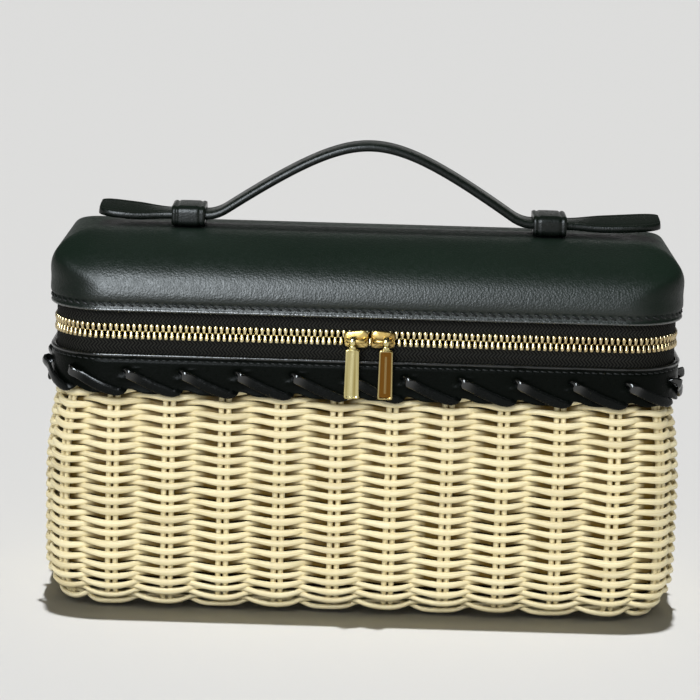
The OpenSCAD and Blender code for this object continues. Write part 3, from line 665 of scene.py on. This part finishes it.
def hingeStrip():
    # one leather strip at the back, a closed flat profile carried round the rear of the outline
    z = np.linspace(height["tapeLow"], height["tapeHigh"], 40)
    puff = -hinge["puff"] * bell(z - height["zip"], 2.0)
    d = np.concatenate([puff, 0 * z - hinge["thick"]])
    zz = np.concatenate([z, z[::-1]])
    reach = walkTo(hinge["inset"], zipLine["endTurn"] + hinge["clear"])
    s = np.linspace(reach, girth(hinge["inset"]) - reach, 90)
    points = around(s[:, None], hinge["inset"], d[None, :], zz[None, :])
    return tube(points, uLen=230.0, vLen=60.0, tone=hinge["dry"])


strip = makePiece("hingeStrip", hingeStrip(), lidLeather, "base", ["hinge_lower", "hinge_upper"],
                  ride=False)
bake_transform(strip)


lidShape = {"band": 6.0, "shoulderW": 24.0, "shoulderD": 44.0, "power": 2.3, "endPower": 3.4, "topCorner": 5.0,
            "pinch": 9.0, "thick": 2.2, "roll": 0.38, "crown": 0.5, "slack": 0.22,
            "rimUp": (0.05, 0.0, 0.15, 0.5, 0.9, 1.2, 1.5, 1.9, 2.6, 3.4, 4.0, 4.4, 4.8, 5.3),
            "rimOut": (-1.6, -0.9, -0.3, 0.05, 0.12, 0.0, -0.3, -0.45, -0.5, -0.5, -0.4, -0.1, 0.15, 0.3),
            "beadTall": 1.3, "beadShine": 1.4, "endDry": -0.5, "dryFrom": 107.0, "dryOver": 13.0,
            "straight": 60, "side": 14, "bend": 16, "levels": 34}


def lidOutline(halfW, halfD, r):
    # rounded rectangles of the given half sizes and corner radii, sampled alike so that rings can be joined
    bend = np.linspace(0, pi / 2, lidShape["bend"], endpoint=False)
    rows = []
    for quarter in range(4):
        turn = quarter * pi / 2 + bend
        sx, sy = (1, 1, -1, -1)[quarter], (-1, 1, 1, -1)[quarter]
        cx, cy = sx * (halfW - r), sy * (halfD - r)
        # heading turns from the front (0) anticlockwise: outward is (sin, -cos)
        rows.append(np.stack([cx[:, None] + r[:, None] * np.sin(turn), cy[:, None] - r[:, None] * np.cos(turn)], -1))
        nextX, nextY = (1, -1, -1, 1)[quarter] * (halfW - r), (1, 1, -1, -1)[quarter] * (halfD - r)
        full = (quarter + 1) * pi / 2
        t = np.linspace(0, 1, (lidShape["side"], lidShape["straight"])[quarter % 2], endpoint=False)
        ax, ay = cx + r * np.sin(full), cy - r * np.cos(full)
        bx, by = nextX + r * np.sin(full), nextY - r * np.cos(full)
        rows.append(np.stack([ax[:, None] + (bx - ax)[:, None] * t, ay[:, None] + (by - ay)[:, None] * t], -1))
    return np.concatenate(rows, 1)


def planRings(inset):
    # the plan drawn in by each inset
    inset = np.asarray(inset, float)
    return lidOutline(plan["width"] / 2 - inset, plan["depth"] / 2 - inset, np.maximum(plan["corner"] - inset, 1.0))


def lidSkin(inset, drop):
    # from the rim to the top: an upright band, a superellipse shoulder, and a faintly crowned top
    f = np.linspace(0, pi / 2, lidShape["levels"])
    c, s = np.cos(f).clip(0) ** (2 / lidShape["power"]), np.sin(f) ** (2 / lidShape["power"])
    topR = max(lidShape["topCorner"] - inset, 1.0)
    r = topR + (plan["corner"] - inset - topR) * c ** lidShape["pinch"]
    endC = (1 - s ** lidShape["endPower"]).clip(0) ** (1 / lidShape["endPower"])
    halfW = plan["width"] / 2 - inset - lidShape["shoulderW"] * (1 - endC)
    halfD = plan["depth"] / 2 - inset - lidShape["shoulderD"] * (1 - c)
    top = height["lidTop"] - height["rim"] - lidShape["band"] - drop - lidShape["crown"]
    z = height["rim"] + lidShape["band"] + top * s
    ease = np.array([0.25, 0.5, 0.75, 0.96])
    inner = halfD[-1] * ease
    r = np.concatenate([r, np.maximum(r[-1] - inner, 0.6)])
    halfW = np.concatenate([halfW, halfW[-1] - inner])
    halfD = np.concatenate([halfD, halfD[-1] - inner])
    z = np.concatenate([z, z[-1] + lidShape["crown"] * (1 - (1 - ease) ** 2)])
    return halfW, halfD, r, z


def lidShell():
    # one skin from the inner top down to the rim and up to the outer top
    halfW, halfD, r, z = lidSkin(0.0, 0.0)
    # the leather rolls out a little above the seam
    roll = lidShape["roll"] * bell(z - height["rim"] - lidShape["band"], 2.6)
    outer = raised(lidOutline(halfW + roll, halfD + roll, r + roll), z)
    # rim: a turned bead, then a sunk channel for the seam
    rim = height["rim"]
    band = raised(planRings(-np.array(lidShape["rimOut"])), rim + np.array(lidShape["rimUp"]))
    halfW, halfD, r, z = lidSkin(lidShape["thick"], lidShape["thick"])
    inner = raised(lidOutline(halfW, halfD, r), z)
    edge = raised(planRings([lidShape["thick"]]), rim + 0.3)
    points = np.concatenate([inner[::-1], edge, band, outer[1:]])
    # slack in the leather: long shallow waves over the shoulder, a fraction of a millimetre
    wave = np.sin(points[..., 0] / 31 + 0.6) * np.sin(points[..., 2] / 9) * lidShape["slack"]
    lift = np.clip((points[..., 2] - rim - 7) / 8, 0, 1) * np.clip((height["lidTop"] - 3 - points[..., 2]) / 6, 0, 1)
    points[..., 1] += np.sign(points[..., 1]) * wave * lift
    # tone: the bead is rubbed, the ends are dry
    bead = smoothStep((rim + lidShape["beadTall"] - points[..., 2]) / 0.3)
    dry = smoothStep((np.abs(points[..., 0]) - lidShape["dryFrom"]) / lidShape["dryOver"])
    tone = np.where(bead > 0, lidShape["beadShine"] * bead, lidShape["endDry"] * dry)
    return tube(points, uLen=140.0, vLen=girth(0), tone=tone)


makePiece("lidShell", lidShell(), lidLeather, "lid", ["lid"])
makePiece("lidStitches", stitchRow(sewing["lid"], 0.0, height["rim"] + sewing["lid"]["up"]),
          thread, "lid")


cloth = {"thick": 0.8, "wallInset": 9.05, "shelfInset": 3.9, "floor": 6.2, "waves": 0.16,
         "shelfZ": 103.2, "top": 109.3, "lidGap": 0.2}


def basketLining():
    # a fabric bag: floor, wall, a turned shelf over the rim and a short upright edge, inside and outside
    t, floor, shelfZ, top = (cloth[key] for key in ("thick", "floor", "shelfZ", "top"))
    wall, shelf = cloth["wallInset"], cloth["shelfInset"]
    outer = [(wall + 22, floor), (wall + 12, floor), (wall + 3, floor), (wall, floor + 2)] \
        + [(wall, z) for z in np.linspace(10, shelfZ - 1, 14)] + [(wall, shelfZ), (shelf, shelfZ), (shelf, top)]
    inner = [(shelf + t, top), (shelf + t, shelfZ + t), (wall + t, shelfZ + t)] \
        + [(wall + t, z) for z in np.linspace(shelfZ - 1, 10, 14)] \
        + [(wall + t, floor + 2.6), (wall + 3, floor + t), (wall + 12, floor + t), (wall + 22, floor + t)]
    ring = np.array(outer + inner)
    flat = planRings(ring[:, 0])
    # faint upright folds on the wall
    upright = ((ring[:, 1] > 9) & (ring[:, 1] < 102))[:, None]
    sag = np.abs(np.sin(np.arange(flat.shape[1]) * 0.21)) * cloth["waves"] * upright
    points = raised(flat, ring[:, 1])
    points[..., :2] -= np.sign(points[..., :2]) * sag[..., None]
    return tube(points, uLen=260.0, vLen=640.0)


def lidLining():
    # the lid's own skin, drawn in twice
    inset, drop, t = cloth["shelfInset"], lidShape["thick"] + cloth["lidGap"], cloth["thick"]
    skins = [lidSkin(inset, drop), lidSkin(inset + t, drop + t)]
    outer, inner = (raised(lidOutline(*skin[:3]), skin[3]) for skin in skins)
    low = raised(planRings([inset + t, inset]), height["rim"] + cloth["lidGap"])
    points = np.concatenate([inner[::-1], low, outer])
    return tube(points, uLen=130.0, vLen=670.0)


makePiece("basketLining", basketLining(), lining, "base", ["lining"])
makePiece("lidLining", lidLining(), lining, "lid", ["lid_lining"])


strap = {"wide": 16.0, "thick": 3.3, "rise": 31.0, "middle": 160.95, "archHalf": 69.35, "keeperOut": 83.5,
         "tails": (31.0, 40.0), "tailWide": 19.5, "tailLift": 2.0, "peak": 0.72, "tip": 0.55, "edge": 1.2, "roll": 0.13,
         "bend": 0.43, "foot": 0.13, "crown": 0.25, "crease": 0.22, "creaseAt": 0.78}
keeper = {"x": 76.5, "wide": 14.0, "thick": 2.8, "gap": 0.15, "slot": 3.0, "crease": 0.45, "round": 0.35, "crown": 0.12}


def strapStations():
    # x, height, slope and width along the strap: an arch between the keepers, flared tails outside them
    rows = []
    for side, length in ((-1, strap["tails"][0]), (1, strap["tails"][1])):
        u = np.sin(np.linspace(0, pi / 2, 26))
        swell = 1 - np.cos(pi * np.minimum(u / strap["peak"], 1))
        flare = strap["wide"] + (strap["tailWide"] - strap["wide"]) * swell / 2
        v = np.clip((u - strap["peak"]) / (1 - strap["peak"]), 0, 1)
        tip = strap["tip"] * strap["tailWide"]
        wide = np.where(v > 0, tip + (strap["tailWide"] - tip) * np.sqrt(1 - v ** 2.6), flare)
        rows.append(np.stack([side * (strap["keeperOut"] + u * length), strap["middle"] + strap["tailLift"] * u * u,
                              side * np.arctan(2 * strap["tailLift"] * u / length), wide], -1))
    # the arch falls as a hyperbola and ends in a parabola that lies level at the keeper
    x = strap["archHalf"] * np.linspace(-1, 1, 120)
    far, bend, foot = np.abs(x), strap["bend"] * strap["archHalf"], strap["foot"] * strap["archHalf"]
    low = strap["archHalf"] - foot
    curve = lambda v: np.sqrt(1 + (v / bend) ** 2) - 1
    tilt = lambda v: v / (bend * bend * np.sqrt(1 + (v / bend) ** 2))
    steep = strap["rise"] / (curve(low) + tilt(low) * foot / 2)
    fall = np.where(far < low, steep * curve(far),
                    strap["rise"] - steep * tilt(low) * (strap["archHalf"] - far) ** 2 / (2 * foot))
    slope = steep * tilt(np.minimum(far, low)) * np.where(far < low, 1, (strap["archHalf"] - far) / foot)
    arch = np.stack([x, strap["middle"] + strap["rise"] - fall, -np.sign(x) * np.arctan(slope),
                     np.full(len(x), strap["wide"])], -1)
    return np.concatenate([rows[0][::-1], arch, rows[1]])


def strapBody():
    # section: a flat bar with round edges, a faint crown on top and a crease nearly 3 mm in from each edge
    x, z, slope, wide = strapStations().T[:, :, None]
    turn = np.linspace(0, pi, 9)[1:-1]
    across = np.linspace(1, -1, 21)
    half, edge = strap["thick"] / 2, strap["edge"]
    crease = -strap["crease"] * bell(np.abs(across) - strap["creaseAt"], 0.05) - strap["crown"] * across ** 2
    flat = wide / 2 - edge
    sides = [(flat * across, half + crease), (-flat - edge * np.sin(turn), half * np.cos(turn)),
             (flat * across[::-1][::2], -half), (flat + edge * np.sin(turn), -half * np.cos(turn))]
    section = np.concatenate([grid(y, up + 0 * flat) for y, up in sides], 1)
    # the tails roll a little towards the front as they leave the keepers
    roll = strap["roll"] * smoothStep((np.abs(x) - strap["keeperOut"]) / 16)
    y = section[..., 0] * np.cos(roll) - section[..., 1] * np.sin(roll)
    up = section[..., 0] * np.sin(roll) + section[..., 1] * np.cos(roll)
    points = np.stack([x - up * np.sin(slope), y, z + up * np.cos(slope)], -1)
    return tube(points, uLen=240.0, vLen=38.0)


def keeperLoop(x):
    # a band bent round the strap; its outer face has a crease near each edge
    halfY, halfZ = strap["wide"] / 2 + keeper["gap"], keeper["slot"] / 2 + keeper["gap"]
    n = 12
    loop = []
    for quarter, (sy, sz) in enumerate(((1, 1), (-1, 1), (-1, -1), (1, -1))):
        a = quarter * pi / 2 + np.linspace(0, pi / 2, n)
        loop.append(np.stack([np.full(n, sy * halfY), np.full(n, sz * halfZ), np.cos(a), np.sin(a)], -1))
    loop = np.concatenate(loop)
    fine = np.array([0.5, 0.6, 0.66, 0.72, 0.8, 0.88, 0.96, 1.0])
    across = np.concatenate([-fine[::-1], np.linspace(-0.4, 0.4, 5), fine])
    far = np.abs(across)
    outer = keeper["thick"] - keeper["crease"] * bell(far - 0.7, 0.06) - keeper["round"] * smoothStep((far - 0.9) / 0.1)
    outer = outer - keeper["crown"] * across ** 2
    px = np.concatenate([across, across[::-1]]) * keeper["wide"] / 2
    push = np.concatenate([outer, 0 * across + 0.02])
    y = loop[:, 0][:, None] + loop[:, 2][:, None] * push
    z = strap["middle"] + loop[:, 1][:, None] + loop[:, 3][:, None] * push
    points = grid(x + px[None, :], y, z)
    return shell(points, True, True, uLen=48.0, vLen=34.0)


makePiece("handleStrap", strapBody(), strapLeather, "lid", ["handle"])
makePiece("keeperLeft", keeperLoop(-keeper["x"]), strapLeather, "lid", ["keeper_left"])
makePiece("keeperRight", keeperLoop(keeper["x"]), strapLeather, "lid", ["keeper_right"])


slider = {"meet": 1.6, "gap": 0.4, "long": 11.0, "plateIn": 51.25, "plateT": 1.1, "plateBack": 47.95, "barOut": 3.1,
          "barZ": -0.5, "low": -4.45, "noseUp": 4.3, "tailUp": 3.4, "snug": (0.88, 0.86),
          "hold": 1.5, "bridge": 4.35, "barThin": 0.75, "bronzeTint": 0.4}
pull = {"wide": 6.2, "thick": 1.7, "long": 24.0, "top": 3.1, "eyeIn": 1.0, "eyeOut": 2.1, "eyeWide": 2.6,
        "along": 6.5, "inset": (1.2, 0.3, 0.0, 0.0, 0.25, 0.6, 0.68, 0.78, 1.6, 2.5, 2.75, 2.9),
        "relief": (-1.0, -1.0, -0.7, 0.7, 1.0, 1.0, 0.95, 0.85, 0.95, 1.03, 1.05, 1.06),
        "bronzeTintAt": (0.25, 0.68, 0.78, 2.5, 2.75), "bronzeTint": (0.3, 0.4, 1.0, 1.0, 0.7),
        "neckDown": (-1.7, -2.3, -3.0, -3.8), "neckWide": (1.05, 1.15, 1.5, 2.2), "neckDeep": (0.75, 0.72, 0.68, 0.6)}


def plate(face, thick, outline2):
    # a shield cut from sheet: rings from the back face over a rounded edge to the front face
    middle = outline2.mean(0)
    scale = np.array([0.9, 1.0, 1.0, 0.96, 0.86, 0.7, 0.45, 0.2])
    depth = np.array([0.0, 0.0, 0.45, 0.75, 0.95, 1.1, 1.22, 1.26]) * thick
    flat = middle + (outline2 - middle)[None] * scale[:, None, None]
    return np.stack([flat[..., 0], np.broadcast_to(-(face + depth)[:, None], flat.shape[:2]), flat[..., 1]], -1)


def roundedPath(corners, radius, n=5):
    # a closed polygon with its corners rounded by quadratic arcs
    rows = []
    corners = np.array(corners, float)
    for k, p in enumerate(corners):
        a, b = corners[k - 1] - p, corners[(k + 1) % len(corners)] - p
        a, b = p + a / np.linalg.norm(a) * radius, p + b / np.linalg.norm(b) * radius
        t = np.linspace(0, 1, n)[:, None]
        rows.append((1 - t) ** 2 * a + 2 * t * (1 - t) * p + t ** 2 * b)
    return np.concatenate(rows)


def sliderBody(way):
    # drawn with its nose at x = 0 and its tail towards +X: two shields, side lips and an arched bridge
    low, long, front, back = (slider[key] for key in ("low", "long", "plateIn", "plateBack"))
    shield = roundedPath([(0, low + 0.6), (1.2, low), (long - 1.2, low), (long, low + 0.9), (long, 2.6),
                          (long - 1.1, slider["tailUp"]), (1.6, slider["noseUp"]), (0, 3.0)], 0.9)
    lip = roundedPath([(1, low), (long - 1, low), (long - 1, low + 0.8), (1, low + 0.8)], 0.3)
    blanks = [(front, slider["plateT"], shield), (back - slider["plateT"], slider["plateT"], shield),
              (front - 1.0, 1.1, lip), (back - 0.1, 0.9, lip)]
    parts = [tube(plate(*blank)) for blank in blanks]
    # bridge: an oval bar carried along a flat-topped arch from nose to tail
    t = np.linspace(0, pi, 25)
    px = long / 2 - slider["bridge"] * pressed(np.cos(t), 0.7)
    py = front + 0.5 + (slider["plateT"] + slider["barOut"] - 0.5) * np.sin(t) ** 0.55
    dx, dy = np.gradient(px), np.gradient(py)
    thin = slider["barThin"] / np.hypot(dx, dy)
    turn = turns(12)
    x = px[:, None] - (dy * thin)[:, None] * np.cos(turn)
    y = py[:, None] + (dx * thin)[:, None] * np.cos(turn)
    z = slider["barZ"] + (1.0 + 0.35 * np.cos(t) ** 2)[:, None] * np.sin(turn)
    parts.append(tube(np.stack([x, -y, z], -1)))
    whole = joined(parts)
    # drawn a little under the size of its blank, measured from near the nose
    snug, hold = np.array([slider["snug"][0], 1, slider["snug"][1]]), np.array([slider["hold"], 0, 0])
    at = np.array([slider["meet"] + way * slider["gap"], 0, height["zip"]])
    whole["points"] = ((whole["points"] - hold) * snug + hold) * np.array([way, 1, 1]) + at
    whole["tone"] = np.full(len(whole["points"]), slider["bronzeTint"] * max(way, 0))  # the right one is a darker bronze
    return whole


def pullTab(way):
    # a flat bar with a raised border and a shallow crowned face, hung by a round eye on the bridge
    halfW, top, bottom = pull["wide"] / 2, -pull["top"] - 0.2, -pull["long"]
    edge = roundedPath([(-halfW, bottom), (halfW, bottom), (halfW * 0.9, top), (-halfW * 0.9, top)], 1.0, 6)
    middle = np.array([0, (top + bottom) / 2])
    size = np.array([halfW, (top - bottom) / 2])
    # inset of each ring in mm, and its depth through the tab from back to front
    inset, depth = np.array(pull["inset"]), np.array(pull["relief"]) * pull["thick"] / 2
    flat = middle + (edge - middle)[None] * (1 - inset[:, None, None] / size)
    tab = np.stack([flat[..., 0], np.broadcast_to(-depth[:, None], flat.shape[:2]), flat[..., 1]], -1)
    # the face of the right pull is a darker bronze, a little less along its middle, where the paler line is a painted
    # highlight
    bronzeTint = (np.interp(inset, pull["bronzeTintAt"], pull["bronzeTint"]) * max(way, 0))[:, None]
    parts = [tube(tab, tone=bronzeTint)]
    # eye: a thick ring about the bridge
    a, b = turns(28)[:, None], turns(10)
    mid, fat = (pull["eyeIn"] + pull["eyeOut"]) / 2, (pull["eyeOut"] - pull["eyeIn"]) / 2
    ring = mid + fat * np.cos(b)
    eye = grid(pull["eyeWide"] / 2 * np.sin(b), ring * np.cos(a), ring * np.sin(a))
    parts.append(shell(eye, True, True, tone=0.0))
    down, wide, deep = (np.array(pull[key])[:, None] for key in ("neckDown", "neckWide", "neckDeep"))
    turn = turns(12, 0.5)
    c, d = pressed(np.cos(turn), 0.6), pressed(np.sin(turn), 0.6)
    parts.append(tube(grid(wide * c, deep * d, down), tone=0.0))
    whole = joined(parts)
    whole["points"] = whole["points"] + np.array([slider["meet"] + way * (slider["gap"] + pull["along"]),
                                                  -(slider["plateIn"] + slider["plateT"] + slider["barOut"]),
                                                  height["zip"] + slider["barZ"]])
    return whole


for side, way in (("left", -1), ("right", 1)):
    makePiece("slider" + side.title(), sliderBody(way), sliderBrass, "slider_" + side, ["slider_" + side])
    makePiece("pull" + side.title(), pullTab(way), pullBrass, "pull_" + side, ["pull_" + side])


stageSet = {"floor": "#CFCFCE", "size": 40.0, "flat": 6.0, "rise": 3.1, "sides": 64, "world": 0.07,
            "front": {"azimuth": -12.0, "elevation": 42.0, "angle": 40.0, "power": 2.75},
            "above": {"azimuth": 180.0, "elevation": 83.8, "angle": 1.2, "power": 3.5},
            "behind": {"azimuth": 168.0, "elevation": 35.0, "angle": 60.0, "power": 1.1},
            "card": {"azimuth": -19.0, "elevation": 24.5, "distance": 0.7, "wide": 0.26, "tall": 0.58, "power": 9.0,
                     "target": (0, 0, 0.14)}}


def plainFloor():
    # a flat disc whose far edge rises as a backdrop: height is a smooth step of the distance
    reach = np.array([0.05, 1, 3, 6, 7.5, 9, 11, 13, 15, 17, 19, 20]) / 20 * stageSet["size"] / 2
    turn = turns(stageSet["sides"])
    z = stageSet["rise"] * smoothStep((reach - stageSet["flat"]) / (stageSet["size"] / 2 - stageSet["flat"]))
    points = grid(reach[:, None] * np.cos(turn), reach[:, None] * np.sin(turn), z[:, None])
    part = shell(points, False, True)
    mesh = bpy.data.meshes.new("floor")
    faces = [list(range(stageSet["sides"]))] + part["loops"].reshape(-1, 4).tolist()
    mesh.from_pydata(part["points"].tolist(), [], faces)
    mesh.polygons.foreach_set("use_smooth", [True] * len(faces))
    # painted board: even and matt, so that only the shadow shows on it
    mesh.materials.append(newMaterial("painted_board", Roughness=0.9, Specular_IOR_Level=0.1,
                                      Base_Color=linear(stageSet["floor"]))[0])
    floor = bpy.data.objects.new("floor", mesh)
    bpy.context.scene.collection.objects.link(floor)
    return floor


def placed(name, data, target, setting, distance):
    # a lamp or a camera at an azimuth and an elevation from a target, looking back at it
    a, e = np.radians(setting["azimuth"]), np.radians(setting["elevation"])
    towards = Vector((np.sin(a) * np.cos(e), -np.cos(a) * np.cos(e), np.sin(e)))
    holder = bpy.data.objects.new(name, data)
    holder.location = Vector(target) + towards * distance
    holder.rotation_mode = "QUATERNION"
    holder.rotation_quaternion = (-towards).to_track_quat("-Z", "Y")
    bpy.context.scene.collection.objects.link(holder)
    return holder


def sunLamp(name, setting):
    # far light; its angle sets how soft the shadows are
    lamp = bpy.data.lights.new(name, "SUN")
    lamp.energy, lamp.angle = setting["power"], np.radians(setting["angle"])
    return placed(name, lamp, (0, 0, 0), setting, 2.0)


def sheenCard(setting):
    # an upright card to the left of the camera, seen only as a sheen on glossy pieces
    lamp = bpy.data.lights.new("sheenCard", "AREA")
    lamp.shape, lamp.size, lamp.size_y, lamp.energy = "RECTANGLE", setting["wide"], setting["tall"], setting["power"]
    lamp.color = linear("#F0F8FF")[:3]
    placed("sheenCard", lamp, setting["target"], setting, setting["distance"]).visible_diffuse = False


def studioWorld():
    # even pale surroundings
    world = bpy.data.worlds.new("studio")
    world.use_nodes = True
    back = world.node_tree.nodes["Background"]
    back.inputs["Color"].default_value = linear("#F2F2F0")
    back.inputs["Strength"].default_value = stageSet["world"]
    bpy.context.scene.world = world


shot = {"azimuth": 0.3, "elevation": 11.2, "roll": 1.6, "distance": 1.2, "lens": 143.5,
        "target": (-0.0066, 0.0, 0.1035)}


def photoCamera():
    # a long lens a little above the bag, rolled slightly as in the photo
    data = bpy.data.cameras.new("camera")
    data.lens, data.sensor_width, data.clip_start, data.clip_end = shot["lens"], 36.0, 0.05, 30.0
    camera = placed("camera", data, shot["target"], shot, shot["distance"])
    spin = Matrix.Rotation(np.radians(shot["roll"]), 3, "Z").to_quaternion()
    camera.rotation_quaternion = camera.rotation_quaternion @ spin
    bpy.context.scene.camera = camera


floor = plainFloor()
studioWorld()
# the front light leaves out the floor, so that the shadow under the bag stays dark
frontLight = sunLamp("frontLight", stageSet["front"])
leftOut = bpy.data.collections.new("unlitByFront")
leftOut.objects.link(floor)
leftOut.collection_objects[0].light_linking.link_state = "EXCLUDE"
backLight = sunLamp("backLight", stageSet["behind"])  # weak fill for the far side
for lamp in (frontLight, backLight):
    lamp.light_linking.receiver_collection = leftOut
    lamp.visible_glossy = False
sunLamp("aboveLight", stageSet["above"]).visible_glossy = False  # matt light that only draws the shadow
sheenCard(stageSet["card"])
photoCamera()
bpy.context.scene.view_settings.view_transform = "Standard"
print("stage ready")
